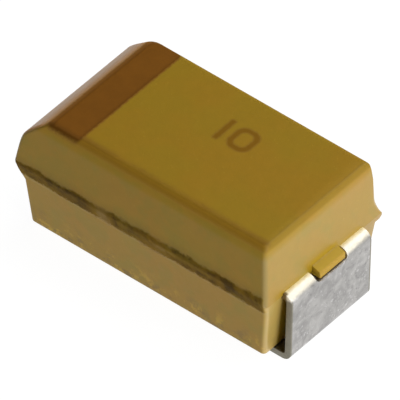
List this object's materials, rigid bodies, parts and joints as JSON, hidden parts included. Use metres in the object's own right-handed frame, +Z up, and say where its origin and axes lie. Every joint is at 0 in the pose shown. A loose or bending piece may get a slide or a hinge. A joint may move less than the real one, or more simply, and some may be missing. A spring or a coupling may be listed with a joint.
{
  "type": "surface-mount tantalum capacitor",
  "caption": "Moulded rectangular chip capacitor with a bevelled, banded anode end and two tinned terminals bent under the case.",
  "frame": {"origin": "middle of the footprint, on the solder plane under the terminal feet", "axes": "+X along the length to the cathode end (the banded, bevelled anode end is at -X), +Z up out of the top face"},
  "size_m": [0.006, 0.0033, 0.0028],
  "materials": {
    "moulded_epoxy": "matte, lightly stippled",
    "tinned_strip": "matte tin plate",
    "sintered_tantalum": "porous, dull",
    "tantalum_wire": "drawn",
    "washer_ptfe": "waxy",
    "manganese_dioxide": "matte, crystalline",
    "graphite": "dull, slightly metallic",
    "silver_paint": "flaked silver",
    "silver_glue": "rough silver-filled"
  },
  "bodies": {
    "root": {"moulded_case": "moulded_epoxy", "anode_terminal": "tinned_strip", "cathode_terminal": "tinned_strip", "tantalum_anode": "sintered_tantalum", "anode_wire": "tantalum_wire", "wire_washer": "washer_ptfe", "manganese_dioxide_coat": "manganese_dioxide", "graphite_coat": "graphite", "silver_coat": "silver_paint", "silver_adhesive": "silver_glue"}
  },
  "joints": []
}
